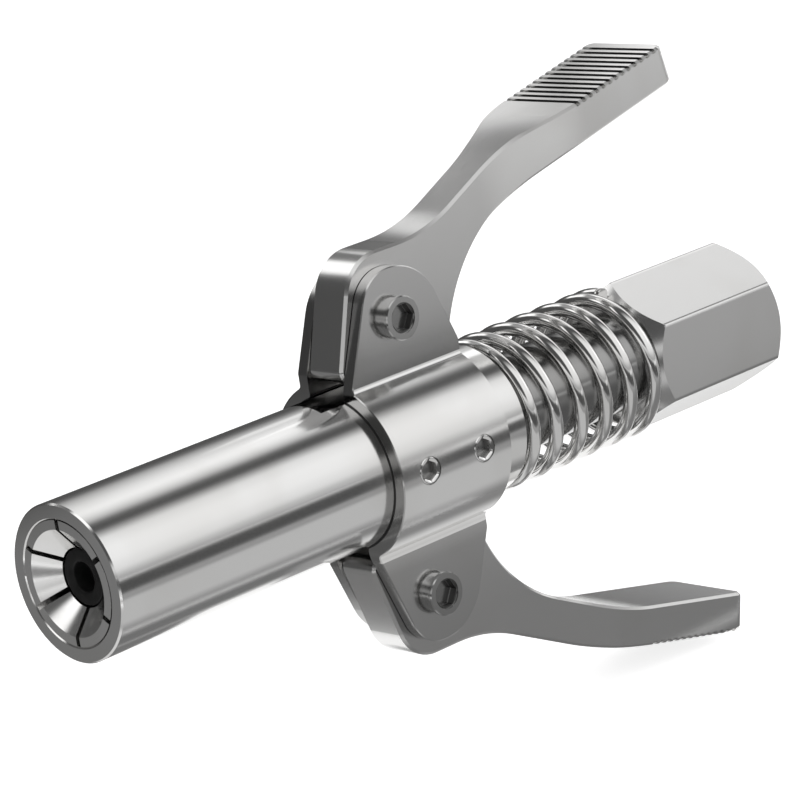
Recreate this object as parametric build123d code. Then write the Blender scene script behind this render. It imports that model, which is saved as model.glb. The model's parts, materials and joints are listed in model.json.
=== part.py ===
from build123d import *
from math import asin, atan2, cos, degrees, hypot, radians, sin, sqrt, tan
import os

# Locking grease coupler with two squeeze levers.
# Millimetres. +X runs from the nose to the hose end, +Z lies in the plane of
# the two levers, and the origin is the centre of the hose thread's mouth.

# Clearances between pieces
running_gap = 0.06
seated_gap = 0.02
jaw_gap = 0.06
spring_gap = 0.05

# Inlet body: the hexagon that screws onto the hose
hex_across_flats = 16.4
hex_length = 22.1
hex_shoulder_radius = 7.87
hex_rear_face_radius = 7.7
hose_thread_radius = 5.15
hose_thread_depth = 10.5
stem_socket_depth = 9.2

# Stem: the hollow core that everything slides on
stem_radius = 6.0
stem_guide_radius = 6.5
stem_head_radius = 5.2
stem_spigot_radius = 5.5
stem_spigot_length = 7.6
stem_passage_radius = 1.75
stem_edge = 0.3
jaw_groove_radius = 4.6
jaw_groove_width = 1.8
stem_head_length = 4.0
toe_groove_radius = 4.2
toe_groove_width = 3.2
piston_bore_radius = 3.5
piston_bore_depth = 19.4

# Outer sleeve
sleeve_radius = 9.0
sleeve_length = 61.4
sleeve_travel = 3.2
sleeve_edge = 0.2
mouth_radius = 7.2
mouth_edge = 0.15
mouth_angle = 13.0
rear_bore_length = 7.4
lever_slot_width = 6.1
lever_slot_start = 36.2
lever_slot_length = 16.0

# Jaws
jaw_count = 6
jaw_recess = 0.05
jaw_slit = 0.6
jaw_rim_radius = 6.05
jaw_lip_radius = 3.4
jaw_lip_depth = 2.2
jaw_lip_width = 0.5
jaw_pocket_radius = 4.2
jaw_head_length = 3.1
jaw_waist_radius = 6.0
jaw_tail_radius = 6.4
jaw_length = 17.95
jaw_tail_length = 3.2
jaw_taper_length = 1.8
jaw_head_clearance = 0.15
hook_end_gap = 0.15

# Seal and its piston
seal_radius = 3.25
seal_hole_radius = 1.7
seal_length = 4.3
seal_lip_radius = 2.2
seal_lip_height = 0.15
seal_lip_wall = 0.35
seal_pocket_depth = 2.6
piston_spigot_radius = 2.3
piston_radius = 2.7
piston_flange_radius = 3.4
piston_flange_width = 1.5
piston_hole_radius = 1.2
bush_length = 3.8

# Clamp halves: bent plate, an arch with two ears
plate_thickness = 1.57
clamp_setback = 39.97
clamp_length = 17.2
ear_gap = 5.7
ear_bend_radius = 0.7
ear_rise = 5.74
ear_front_lean = 21.2
ear_front_distance = 5.01
ear_front_round = 4.7
ear_rear_lean = 21.5
ear_rear_distance = 6.75
ear_top_flat = 0.2
ear_front_foot_round = 4.0
ear_rear_foot_round = 1.0
ear_edge = 0.12
set_screw_radius = 1.6
set_screw_inset = 4.3
set_screw_length = 3.2
set_screw_socket = 1.5
set_screw_socket_depth = 1.4

# Lever pivots
pivot_setback = 7.98
pivot_height = 16.4
barrel_radius = 2.0
barrel_neck_radius = 2.25
barrel_head_radius = 2.55
barrel_head_height = 1.5
barrel_flange_width = 0.6
barrel_head_edge = 0.12
barrel_mouth_radius = 1.8
barrel_mouth_depth = 0.25
barrel_socket = 3.0
barrel_socket_depth = 1.2
barrel_wall = 0.75
screw_shank_length = 6.5

# Levers, drawn from the pivot: outward is away from the sleeve
lever_thickness = 5.5
pad_width = 12.2
pad_depth = 4.8
neck_depth = 5.32
toe_reach = 10.8
toe_radius = 1.2
toe_root_height = 6.1
toe_root_round = 0.8
toe_root_rear = 2.25
heel_front = 8.2
heel_round = 1.5
brow_front = 3.95
brow_height = 7.65
brow_round = 5.5
nape_rear = 8.25
nape_round = 20.0
neck_angle = 26.0
neck_run = 17.87
neck_under_run = 16.68
shoulder_round = 34.0
throat_angle = 67.9
throat_run = 8.86
throat_round = 20.0
rump_round = 1.2
pad_angle = 12.6
pad_run = 23.65
pad_tip_round = 1.3
flare_start = 17.6
flare_length = 15.0
lever_edge = 0.32
groove_count = 13
groove_pitch = 1.17
groove_depth = 0.45
groove_width = 0.6
groove_inset = 1.5

# Springs
main_wire = 1.7
main_mean_radius = 8.55
main_room = 24.0
main_front_dead_turns = 0.5
main_active_turns = 4.78
main_rear_dead_turns = 0.76
main_start_angle = 80.0
points_per_turn = 8
piston_wire = 0.6
piston_spring_mean = 2.85
piston_spring_turns = 8
ball_wire = 0.4
ball_spring_mean = 1.9
ball_spring_turns = 5

# Check valve
ball_radius = 2.5
ball_chamber_radius = 2.9
ball_chamber_depth = 10.0
seat_radius = 5.4
seat_hole_radius = 1.6
seat_mouth_radius = 2.3

# Stations along X, worked out from the hose end
shoulder_x = -hex_length
sleeve_rear_x = shoulder_x - main_room
nose_x = sleeve_rear_x - sleeve_length
clamp_x = nose_x + clamp_setback
pivot_x = clamp_x + pivot_setback
jaw_front_x = nose_x + jaw_recess
lip_x = nose_x + jaw_lip_depth
seal_front_x = lip_x + jaw_lip_width + spring_gap
hook_rear_x = jaw_front_x + jaw_length
groove_rear_x = hook_rear_x + hook_end_gap
groove_front_x = groove_rear_x - jaw_groove_width
stem_front_x = groove_front_x - stem_head_length
toe_wall_x = pivot_x - toe_radius - seated_gap
stem_end_x = shoulder_x + stem_spigot_length
socket_end_x = shoulder_x + stem_socket_depth
bush_rear_x = stem_front_x + bush_length
piston_step_x = stem_front_x + piston_bore_depth
chamber_x = stem_end_x - ball_chamber_depth

# Radii that follow from a neighbour
sleeve_bore_radius = stem_guide_radius + running_gap
rear_bore_radius = stem_radius + running_gap
clamp_bore_radius = sleeve_radius + seated_gap
clamp_radius = clamp_bore_radius + plate_thickness
ear_inner_y = ear_gap / 2
ear_outer_y = ear_inner_y + plate_thickness
mouth_slope = tan(radians(mouth_angle))
lever_bore_radius = barrel_radius + running_gap


def round_body(*profile):
    """A solid of revolution about X from (x, radius) corners."""
    face = make_face(Polyline(*profile, close=True))
    return revolve(face, Axis.X, 360)


def rod(start_x, end_x, radius):
    """A plain cylinder along X."""
    return round_body((start_x, 0), (end_x, 0), (end_x, radius), (start_x, radius))


def cross_rod(x, start_y, end_y, z, radius):
    """A plain cylinder along Y."""
    length = end_y - start_y
    upright = Cylinder(radius, length, align=(Align.CENTER, Align.CENTER, Align.MIN))
    return Pos(x, start_y, z) * Rot(-90, 0, 0) * upright


def cross_hexagon(x, start_y, end_y, z, across_flats):
    """A hexagonal prism along Y."""
    flat = RegularPolygon(across_flats / 2, 6, major_radius=False)
    prism = extrude(flat, end_y - start_y)
    return Pos(x, start_y, z) * Rot(-90, 0, 0) * prism


def side_plate(outline, half_width):
    """A plate with its outline in the XZ plane, centred on y = 0."""
    flat = extrude(make_face(outline), half_width, both=True)
    return Rot(90, 0, 0) * flat


def step_from(point, angle, length):
    """The point that lies a given length away in a given direction."""
    return (
        point[0] + length * cos(radians(angle)),
        point[1] + length * sin(radians(angle)),
    )


def inlet_body():
    corner_radius = hex_across_flats / sqrt(3)
    hexagon = RegularPolygon(corner_radius, 6, rotation=0)
    prism = Pos(shoulder_x, 0, 0) * Rot(0, 90, 0) * extrude(hexagon, hex_length)
    reach = corner_radius + 1
    envelope = round_body(
        (shoulder_x, 0),
        (shoulder_x, hex_shoulder_radius),
        (shoulder_x + reach - hex_shoulder_radius, reach),
        (hex_rear_face_radius - reach, reach),
        (0, hex_rear_face_radius),
        (0, 0),
    )
    body = prism & envelope
    body -= rod(shoulder_x, socket_end_x, stem_spigot_radius + seated_gap)
    body -= rod(-hose_thread_depth, 0, hose_thread_radius)
    body -= rod(socket_end_x, -hose_thread_depth, stem_passage_radius)
    return body


def stem():
    outside = round_body(
        (stem_front_x, 0),
        (stem_front_x, stem_head_radius - stem_edge),
        (stem_front_x + stem_edge, stem_head_radius),
        (groove_front_x, stem_head_radius),
        (groove_front_x, jaw_groove_radius),
        (groove_rear_x, jaw_groove_radius),
        (groove_rear_x, stem_guide_radius),
        (toe_wall_x, stem_guide_radius),
        (toe_wall_x, toe_groove_radius),
        (toe_wall_x + toe_groove_width, toe_groove_radius),
        (toe_wall_x + toe_groove_width, stem_radius - stem_edge),
        (toe_wall_x + toe_groove_width + stem_edge, stem_radius),
        (shoulder_x, stem_radius),
        (shoulder_x, stem_spigot_radius),
        (stem_end_x - stem_edge, stem_spigot_radius),
        (stem_end_x, stem_spigot_radius - stem_edge),
        (stem_end_x, 0),
    )
    piston_bore = rod(stem_front_x, piston_step_x, piston_bore_radius)
    passage = rod(piston_step_x, chamber_x, stem_passage_radius)
    chamber = rod(chamber_x, stem_end_x, ball_chamber_radius)
    return outside - piston_bore - passage - chamber


def valve_seat():
    cone_depth = seat_mouth_radius - seat_hole_radius
    return round_body(
        (stem_end_x, seat_mouth_radius),
        (stem_end_x, seat_radius),
        (socket_end_x, seat_radius),
        (socket_end_x, seat_hole_radius),
        (stem_end_x + cone_depth, seat_hole_radius),
    )


def ball_centre_x():
    """The ball rests on the seat's 45 degree cone."""
    cone_apex_x = stem_end_x + seat_mouth_radius
    return cone_apex_x - (ball_radius + seated_gap) * sqrt(2)


def check_ball():
    return Pos(ball_centre_x(), 0, 0) * Sphere(ball_radius)


def guide_bush():
    bore = piston_radius + running_gap
    return round_body(
        (stem_front_x, bore),
        (stem_front_x, piston_bore_radius - seated_gap),
        (bush_rear_x, piston_bore_radius - seated_gap),
        (bush_rear_x, bore),
    )


def seal():
    rear_x = seal_front_x + seal_length
    pocket_x = rear_x - seal_pocket_depth
    lip_outer = seal_lip_radius + seal_lip_wall
    return round_body(
        (seal_front_x, seal_hole_radius),
        (seal_front_x, seal_lip_radius),
        (seal_front_x + seal_lip_height, lip_outer),
        (seal_front_x + seal_lip_height, seal_radius),
        (rear_x, seal_radius),
        (rear_x, piston_spigot_radius + seated_gap),
        (pocket_x, piston_spigot_radius + seated_gap),
        (pocket_x, seal_hole_radius),
    )


def piston_flange_front_x():
    return bush_rear_x + seated_gap


def piston_rear_x():
    return piston_flange_front_x() + piston_flange_width


def seal_piston():
    shoulder = seal_front_x + seal_length
    spigot_x = shoulder - seal_pocket_depth + seated_gap
    return round_body(
        (spigot_x, piston_hole_radius),
        (spigot_x, piston_spigot_radius),
        (shoulder, piston_spigot_radius),
        (shoulder, piston_radius),
        (piston_flange_front_x(), piston_radius),
        (piston_flange_front_x(), piston_flange_radius),
        (piston_rear_x(), piston_flange_radius),
        (piston_rear_x(), piston_hole_radius),
    )


def jaws():
    """The six jaws, turned as one ring and then slit apart."""
    head_rear_x = jaw_front_x + jaw_head_length
    waist_x = head_rear_x + jaw_taper_length
    tail_x = hook_rear_x - jaw_tail_length
    rim = mouth_radius - jaw_recess * mouth_slope - jaw_gap
    head_rear = rim - jaw_head_length * mouth_slope
    bore_over_head = stem_head_radius + jaw_head_clearance
    hook_radius = jaw_groove_radius + jaw_head_clearance
    hook_front_x = groove_front_x + hook_end_gap
    lip_rear_x = lip_x + jaw_lip_width
    pocket_x = lip_rear_x + jaw_pocket_radius - jaw_lip_radius
    pocket_end_x = stem_front_x - jaw_taper_length
    ring = round_body(
        (jaw_front_x, jaw_rim_radius),
        (jaw_front_x, rim),
        (head_rear_x, head_rear),
        (waist_x, jaw_waist_radius),
        (tail_x - (jaw_tail_radius - jaw_waist_radius), jaw_waist_radius),
        (tail_x, jaw_tail_radius),
        (hook_rear_x, jaw_tail_radius),
        (hook_rear_x, hook_radius),
        (hook_front_x, hook_radius),
        (hook_front_x, bore_over_head),
        (pocket_end_x + bore_over_head - jaw_pocket_radius, bore_over_head),
        (pocket_end_x, jaw_pocket_radius),
        (pocket_x, jaw_pocket_radius),
        (lip_rear_x, jaw_lip_radius),
        (lip_x, jaw_lip_radius),
    )
    length = 2 * jaw_length
    for index in range(jaw_count // 2):
        slit = Box(length, jaw_slit, 4 * mouth_radius)
        ring -= Pos(jaw_front_x, 0, 0) * Rot(index * 360 / jaw_count, 0, 0) * slit
    pieces = ring.solids()
    return sorted(pieces, key=lambda jaw: jaw_angle(jaw.center()))


def jaw_angle(centre):
    """The jaw's angle about X, from +Y towards +Z."""
    return round(degrees(atan2(centre.Z, centre.Y))) % 360


def outer_sleeve():
    mouth_length = (mouth_radius - sleeve_bore_radius) / mouth_slope
    rear_bore_x = sleeve_rear_x - rear_bore_length
    body = round_body(
        (nose_x + mouth_edge, mouth_radius - mouth_edge * mouth_slope),
        (nose_x, mouth_radius + mouth_edge),
        (nose_x, sleeve_radius - sleeve_edge),
        (nose_x + sleeve_edge, sleeve_radius),
        (sleeve_rear_x - sleeve_edge, sleeve_radius),
        (sleeve_rear_x, sleeve_radius - sleeve_edge),
        (sleeve_rear_x, rear_bore_radius),
        (rear_bore_x, rear_bore_radius),
        (rear_bore_x, sleeve_bore_radius),
        (nose_x + mouth_length, sleeve_bore_radius),
    )
    slot_x = nose_x + lever_slot_start
    slots = Pos(slot_x, 0, 0) * Box(
        lever_slot_length,
        lever_slot_width,
        4 * sleeve_radius,
        align=(Align.MIN, Align.CENTER, Align.CENTER),
    )
    body -= slots
    hole_depth = set_screw_length + seated_gap
    for x in set_screw_stations():
        for side in (-1, 1):
            body -= set_screw_hole(x, side, hole_depth)
    return body


def set_screw_stations():
    return (clamp_x + set_screw_inset, clamp_x + clamp_length - set_screw_inset)


def set_screw_hole(x, side, depth):
    """A blind hole from just outside the clamp, for one set screw."""
    outside = clamp_radius + seated_gap
    bottom = clamp_radius - depth
    start, end = sorted((side * outside, side * bottom))
    return cross_rod(x, start, end, 0, set_screw_radius + seated_gap)


def ear_outline():
    """The clamp's plate seen along Y: an ear above and one below."""
    front_lean = radians(ear_front_lean)
    rear_lean = radians(ear_rear_lean)
    top = pivot_height + ear_rise
    clamp_rear_x = clamp_x + clamp_length
    front_top_x = pivot_x + (ear_rise * sin(front_lean) - ear_front_distance) / cos(front_lean)
    rear_top_x = pivot_x - (ear_rise * sin(rear_lean) - ear_rear_distance) / cos(rear_lean)
    front_foot = top - (front_top_x - clamp_x) / tan(front_lean)
    rear_foot = top - (clamp_rear_x - rear_top_x) / tan(rear_lean)
    upper = [
        (clamp_x, front_foot),
        (front_top_x, top),
        (rear_top_x, top),
        (clamp_rear_x, rear_foot),
    ]
    lower = [(x, -z) for x, z in reversed(upper)]
    front_run = ear_front_round * tan(radians(90 - ear_front_lean) / 2)
    rear_run = rear_top_x - front_top_x - front_run - ear_top_flat
    rear_round = rear_run / tan(radians(90 - ear_rear_lean) / 2)
    rounds = [ear_front_foot_round, ear_front_round, rear_round, ear_rear_foot_round]
    return FilletPolyline(*upper, *lower, radius=rounds + rounds[::-1], close=True)


def clamp_half(turned):
    """A half on the -Y side: an arch bent out into two ears.

    The same outline serves both halves, turned end for end for the far one.
    """
    tall = 2 * (pivot_height + ear_rise + 1)
    plate = Pos(-ear_outer_y, 0) * Rectangle(plate_thickness, tall, align=(Align.MIN, Align.CENTER))
    arch = Circle(clamp_radius) - Pos(-ear_inner_y, 0) * Rectangle(
        3 * clamp_radius, tall, align=(Align.MIN, Align.CENTER)
    )
    section = plate + arch - Circle(clamp_bore_radius)
    outer_bend = sqrt(clamp_radius**2 - ear_outer_y**2)
    inner_bend = sqrt(clamp_bore_radius**2 - ear_inner_y**2)
    for side in (-1, 1):
        for y, z in ((ear_outer_y, outer_bend), (ear_inner_y, inner_bend)):
            corner = section.vertices().sort_by_distance((-y, side * z))[0]
            section = fillet(corner, ear_bend_radius)
    section = Plane.YZ.offset(clamp_x) * section
    strip = extrude(section, clamp_length)
    blank = side_plate(ear_outline(), 2 * clamp_radius)
    if turned:
        blank = mirror(blank, about=Plane.YZ.offset(clamp_x + clamp_length / 2))
    half = strip & blank
    half = chamfer(outer_rim_edges(half), ear_edge)
    for x in set_screw_stations():
        half -= set_screw_hole(x, -1, 2 * plate_thickness)
    for side in (-1, 1):
        pin = barrel_radius + seated_gap
        half -= cross_rod(pivot_x, -2 * ear_outer_y, 0, side * pivot_height, pin)
    return half


def on_outer_skin(point):
    """Whether a point lies on the plate's outer face: arch, bend or ear."""
    close = 1e-3
    y = point.Y
    z = abs(point.Z)
    bend_y = -ear_outer_y - ear_bend_radius
    bend_z = sqrt((clamp_radius + ear_bend_radius) ** 2 - bend_y**2)
    on_ear = abs(y + ear_outer_y) < close and z > bend_z - close
    on_arch = abs(hypot(y, z) - clamp_radius) < close
    on_bend = abs(hypot(y - bend_y, z - bend_z) - ear_bend_radius) < close
    return on_ear or on_arch or on_bend


def outer_rim_edges(half):
    """The rim of the plate's outer face, without the long bend lines."""
    picked = []
    for edge in half.edges():
        bend_line = abs(edge.tangent_at(0.5).X) > 0.999 and edge.length > clamp_length / 2
        if on_outer_skin(edge.position_at(0.5)) and not bend_line:
            picked.append(edge)
    return picked


def set_screws():
    """Four set screws through the clamp halves into the sleeve."""
    screws = []
    for x in set_screw_stations():
        for side in (-1, 1):
            top = side * (clamp_radius - seated_gap)
            point = top - side * set_screw_length
            start, end = sorted((top, point + side * seated_gap))
            screw = cross_rod(x, start, end, 0, set_screw_radius)
            start, end = sorted((top, top - side * set_screw_socket_depth))
            screws.append(screw - cross_hexagon(x, start, end, 0, set_screw_socket))
    return Compound(screws)


def pivot_head(face_y, side, z):
    """A necked, flanged head with a hexagon socket in a round mouth."""
    top = face_y + side * barrel_head_height
    flange_y = top - side * barrel_flange_width
    start, end = sorted((face_y, flange_y))
    neck = cross_rod(pivot_x, start, end, z, barrel_neck_radius)
    start, end = sorted((flange_y, top))
    flange = cross_rod(pivot_x, start, end, z, barrel_head_radius)
    flange = chamfer(flange.edges().filter_by(GeomType.CIRCLE), barrel_head_edge)
    start, end = sorted((top, top - side * barrel_mouth_depth))
    mouth = cross_rod(pivot_x, start, end, z, barrel_mouth_radius)
    start, end = sorted((top, top - side * barrel_socket_depth))
    return neck + flange - mouth - cross_hexagon(pivot_x, start, end, z, barrel_socket)


def pivot_barrel(z):
    """Head on the -Y side and a tapped barrel that the lever turns on."""
    end_y = ear_outer_y - seated_gap
    barrel = cross_rod(pivot_x, -ear_outer_y, end_y, z, barrel_radius)
    barrel = barrel + pivot_head(-ear_outer_y, -1, z)
    tapped = barrel_radius - barrel_wall
    return barrel - cross_rod(pivot_x, end_y - screw_shank_length - 1, end_y, z, tapped)


def pivot_screw(z):
    """Head on the +Y side, screwed into the barrel."""
    shank = barrel_radius - barrel_wall - seated_gap
    body = cross_rod(pivot_x, ear_outer_y - screw_shank_length, ear_outer_y, z, shank)
    return body + pivot_head(ear_outer_y, 1, z)


def lever_outline():
    """Side view of a lever about its own pivot, handle towards +X."""
    brow = (-brow_front, brow_height)
    nape = (nape_rear, brow_height)
    shoulder = step_from(nape, neck_angle, neck_run)
    tip_outer = step_from(shoulder, pad_angle, pad_run)
    tip_inner = step_from(tip_outer, pad_angle - 90, pad_depth)
    turn = radians(neck_angle - pad_angle)
    below_shoulder = step_from(shoulder, pad_angle - 90, pad_depth)
    shift = (neck_depth - pad_depth * cos(turn)) / sin(turn)
    under_shoulder = step_from(below_shoulder, pad_angle, shift)
    throat = step_from(under_shoulder, neck_angle + 180, neck_under_run)
    rump = step_from(throat, throat_angle + 180, throat_run)
    upper = [
        ((-toe_radius, -toe_root_height), toe_root_round),
        ((-heel_front, -toe_root_height), heel_round),
        (brow, brow_round),
        (nape, nape_round),
        (shoulder, shoulder_round),
        (tip_outer, 0),
        (tip_inner, 0),
        (under_shoulder, shoulder_round),
        (throat, throat_round),
        (rump, rump_round),
        ((toe_root_rear, -toe_root_height), toe_root_round),
    ]
    toe = [
        ((toe_radius, -toe_reach - toe_radius), toe_radius * 0.98),
        ((-toe_radius, -toe_reach - toe_radius), toe_radius * 0.98),
    ]
    corners = [corner for corner, _ in upper + toe]
    rounds = [radius for _, radius in upper + toe]
    return FilletPolyline(*corners, radius=rounds, close=True), shoulder, tip_outer


def pad_plan():
    """Lever seen from outside: narrow neck that flares to the thumb pad."""
    narrow = lever_thickness / 2
    wide = pad_width / 2
    far = 60
    spread = wide - narrow
    middle = (flare_start + flare_length / 2, narrow + spread / 2)
    end = (flare_start + flare_length, wide)
    neck_side = Line((-20, narrow), (flare_start, narrow))
    flare_out = TangentArc((flare_start, narrow), middle, tangent=(1, 0))
    flare_in = TangentArc(end, middle, tangent=(-1, 0))
    pad_side = Line(end, (far, wide))
    tip = Line((far, wide), (far, 0))
    middle_line = Line((far, 0), (-20, 0))
    butt = Line((-20, 0), (-20, narrow))
    half = make_face([neck_side, flare_out, flare_in, pad_side, tip, middle_line, butt])
    return half + mirror(half, about=Plane.XZ)


def lever_top():
    outline, shoulder, tip_outer = lever_outline()
    flat = side_plate(outline, pad_width)
    plan = extrude(pad_plan(), 60, both=True)
    lever = flat & plan
    lever = fillet(tip_corner_edges(lever), pad_tip_round)
    lever = chamfer(lever_rim_edges(lever), lever_edge)
    for index in range(groove_count):
        back = groove_inset + groove_width / 2 + index * groove_pitch
        centre = step_from(tip_outer, pad_angle + 180, back)
        groove = Box(groove_width, 2 * pad_width, 2 * groove_depth)
        lever -= Pos(centre[0], 0, centre[1]) * Rot(0, -pad_angle, 0) * groove
    lever -= cross_rod(0, -lever_thickness, lever_thickness, 0, lever_bore_radius)
    return Pos(pivot_x, 0, pivot_height) * lever


def tip_corner_edges(lever):
    """The two edges across the handle's depth at the tip."""
    depthwise = Vector(sin(radians(pad_angle)), 0, -cos(radians(pad_angle)))
    tip_x = lever.bounding_box().max.X
    picked = []
    for edge in lever.edges():
        at_tip = edge.position_at(0.5).X > tip_x - pad_depth
        if at_tip and abs(edge.tangent_at(0.5).dot(depthwise)) > 0.999:
            picked.append(edge)
    return picked


def lever_rim_edges(lever):
    """Edges round both side faces of the lever, above the toe."""
    tip_x = lever.bounding_box().max.X
    picked = []
    for edge in lever.edges():
        middle = edge.position_at(0.5)
        crosswise = abs(edge.tangent_at(0.5).Y) > 0.999
        at_tip = crosswise and middle.X > tip_x - pad_depth
        if (at_tip or not crosswise) and middle.Z > -toe_root_height + heel_round:
            picked.append(edge)
    return picked


def coil(wire, mean_radius, start_x, end_x, turns):
    """A plain helical spring along X, between two wire centres."""
    pitch = (end_x - start_x) / turns
    path = Helix(pitch, end_x - start_x, mean_radius, center=(start_x, 0, 0), direction=(1, 0, 0))
    start = Plane(origin=path @ 0, z_dir=path % 0)
    return sweep(start * Circle(wire / 2), path=path, is_frenet=True)


def main_spring():
    """Open coils with dead turns at both ends, wound right-handed."""
    radius = main_wire / 2
    front_x = sleeve_rear_x + radius + spring_gap
    overhang = main_mean_radius - hex_shoulder_radius
    rear_x = shoulder_x + overhang - (radius + spring_gap) * sqrt(2)
    dead_pitch = main_wire + spring_gap
    dead = dead_pitch * (main_front_dead_turns + main_rear_dead_turns)
    active_pitch = (rear_x - front_x - dead) / main_active_turns
    turns = main_front_dead_turns + main_active_turns + main_rear_dead_turns
    count = round(turns * points_per_turn)
    points = []
    for index in range(count + 1):
        turned = index * turns / count
        active = min(max(turned - main_front_dead_turns, 0), main_active_turns)
        x = front_x + dead_pitch * (turned - active) + active_pitch * active
        angle = radians(main_start_angle + 360 * turned)
        points.append((x, main_mean_radius * cos(angle), main_mean_radius * sin(angle)))
    path = Spline(*points)
    start = Plane(origin=path @ 0, z_dir=path % 0)
    return sweep(start * Circle(radius), path=path)


def piston_spring():
    start = piston_rear_x() + piston_wire / 2 + seated_gap
    end = piston_step_x - piston_wire / 2 - seated_gap
    return coil(piston_wire, piston_spring_mean, start, end, piston_spring_turns)


def ball_spring():
    start = chamber_x + ball_wire / 2 + seated_gap
    rest = sqrt(ball_radius**2 - ball_spring_mean**2)
    end = ball_centre_x() - rest - ball_wire / 2 - spring_gap
    return coil(ball_wire, ball_spring_mean, start, end, ball_spring_turns)


upper_lever = lever_top()
nodes = {
    "inlet_body": inlet_body(),
    "stem": stem(),
    "valve_seat": valve_seat(),
    "check_ball": check_ball(),
    "ball_spring": ball_spring(),
    "guide_bush": guide_bush(),
    "seal": seal(),
    "seal_piston": seal_piston(),
    "piston_spring": piston_spring(),
    "outer_sleeve": outer_sleeve(),
    "clamp_half_near": clamp_half(turned=False),
    "clamp_half_far": mirror(clamp_half(turned=True), about=Plane.XZ),
    "set_screws": set_screws(),
    "pivot_barrel_top": pivot_barrel(pivot_height),
    "pivot_barrel_bottom": pivot_barrel(-pivot_height),
    "pivot_screw_top": pivot_screw(pivot_height),
    "pivot_screw_bottom": pivot_screw(-pivot_height),
    "lever_top": upper_lever,
    "lever_bottom": mirror(upper_lever, about=Plane.XY),
    "main_spring": main_spring(),
}
for number, jaw in enumerate(jaws(), start=1):
    nodes[f"jaw_{number}"] = jaw

os.makedirs("parts", exist_ok=True)
for name, shape in nodes.items():
    export_step(shape, f"parts/{name}.step")

squeeze_angle = degrees(asin(sleeve_travel / toe_reach))
print("nose to hose end", round(-nose_x, 2), "mm")
print("lever angle for the full travel", round(squeeze_angle, 2), "degrees")
print("squeeze ratio", round(radians(squeeze_angle) / sleeve_travel * 1000, 3), "rad per metre")
print("pivot", round(pivot_x, 3), "jaw hook", round(hook_rear_x, 3), "nose", round(nose_x, 3))
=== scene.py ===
# %% [markdown]
# # Dressing a locking grease coupler
# A grease coupler clicks onto a nipple and holds itself there while a grease gun pumps. Every piece but the
# rubber seal is steel, turned or stamped and mostly nickel plated, so this lesson is mostly about metal: a
# metal has no colour of its own to speak of, and what we see in it is the studio around it.
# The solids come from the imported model. Here they get their finishes, and a few pieces that need finer
# meshes than the solids have, such as the springs and the hose thread, are built in their place.

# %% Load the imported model
import json
from math import ceil, cos, pi, radians, sin, tan

import bmesh
import bpy
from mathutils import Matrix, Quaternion, Vector

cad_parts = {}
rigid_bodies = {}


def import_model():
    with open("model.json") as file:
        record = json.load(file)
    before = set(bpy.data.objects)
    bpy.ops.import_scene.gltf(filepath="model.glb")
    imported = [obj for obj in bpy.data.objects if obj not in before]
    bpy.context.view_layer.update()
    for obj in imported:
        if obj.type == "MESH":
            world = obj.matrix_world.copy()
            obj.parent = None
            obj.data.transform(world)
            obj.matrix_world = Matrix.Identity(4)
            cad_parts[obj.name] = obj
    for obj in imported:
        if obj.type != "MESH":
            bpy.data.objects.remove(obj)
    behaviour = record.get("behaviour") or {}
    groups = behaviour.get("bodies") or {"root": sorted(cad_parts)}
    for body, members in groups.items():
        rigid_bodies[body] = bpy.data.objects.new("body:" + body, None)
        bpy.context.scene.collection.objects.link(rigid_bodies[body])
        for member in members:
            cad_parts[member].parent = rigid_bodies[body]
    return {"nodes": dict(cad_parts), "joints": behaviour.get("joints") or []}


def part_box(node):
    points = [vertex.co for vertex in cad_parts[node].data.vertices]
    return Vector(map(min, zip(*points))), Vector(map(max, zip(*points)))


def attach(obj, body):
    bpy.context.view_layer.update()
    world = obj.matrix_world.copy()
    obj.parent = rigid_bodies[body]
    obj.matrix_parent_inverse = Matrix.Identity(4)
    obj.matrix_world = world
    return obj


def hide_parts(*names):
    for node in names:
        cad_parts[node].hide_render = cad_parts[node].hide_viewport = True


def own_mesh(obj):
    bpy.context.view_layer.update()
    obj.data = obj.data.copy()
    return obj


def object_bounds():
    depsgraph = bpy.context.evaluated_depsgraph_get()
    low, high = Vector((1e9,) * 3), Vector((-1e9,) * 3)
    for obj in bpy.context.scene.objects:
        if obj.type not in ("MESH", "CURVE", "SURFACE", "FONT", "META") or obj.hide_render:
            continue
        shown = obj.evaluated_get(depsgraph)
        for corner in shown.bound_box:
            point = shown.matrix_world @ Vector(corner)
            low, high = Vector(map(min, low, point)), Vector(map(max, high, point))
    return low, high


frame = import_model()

MM = 0.001
scene = bpy.context.scene
nodes = frame["nodes"]
cad_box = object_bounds()
print("pieces in the packed model:", len(nodes))

# %% [markdown]
# ## Where things are
# The model's own boxes give every place that the new pieces need. The nose is at the low end of X, the
# hose end is at zero, and the two levers lie in the XZ plane. The photograph's side is the low side of Y.

# %% Stations read from the boxes
sleeve_low, sleeve_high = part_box("outer_sleeve")
spring_low, spring_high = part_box("main_spring")
inlet_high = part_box("inlet_body")[1]
nose_x = sleeve_low.x
hose_x = inlet_high.x
sleeve_radius = sleeve_high.z
lowest_z = cad_box[0].z
print("nose to hose end", round((hose_x - nose_x) / MM, 2), "mm")

# %% [markdown]
# ## Shader maths that reads like maths
# A material's numbers are often sums and products of other numbers. Wired by hand, each one is a Math
# node and two links. A small class that wraps a socket and overloads the operators lets us write
# `1 - mask * 0.3` and have the nodes made for us.

# %% A socket that can be added and multiplied
def plug(tree, socket, value):
    """Links a wrapped socket, or sets a plain value."""
    if isinstance(value, Wire):
        tree.links.new(value.socket, socket)
    else:
        socket.default_value = value


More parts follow.
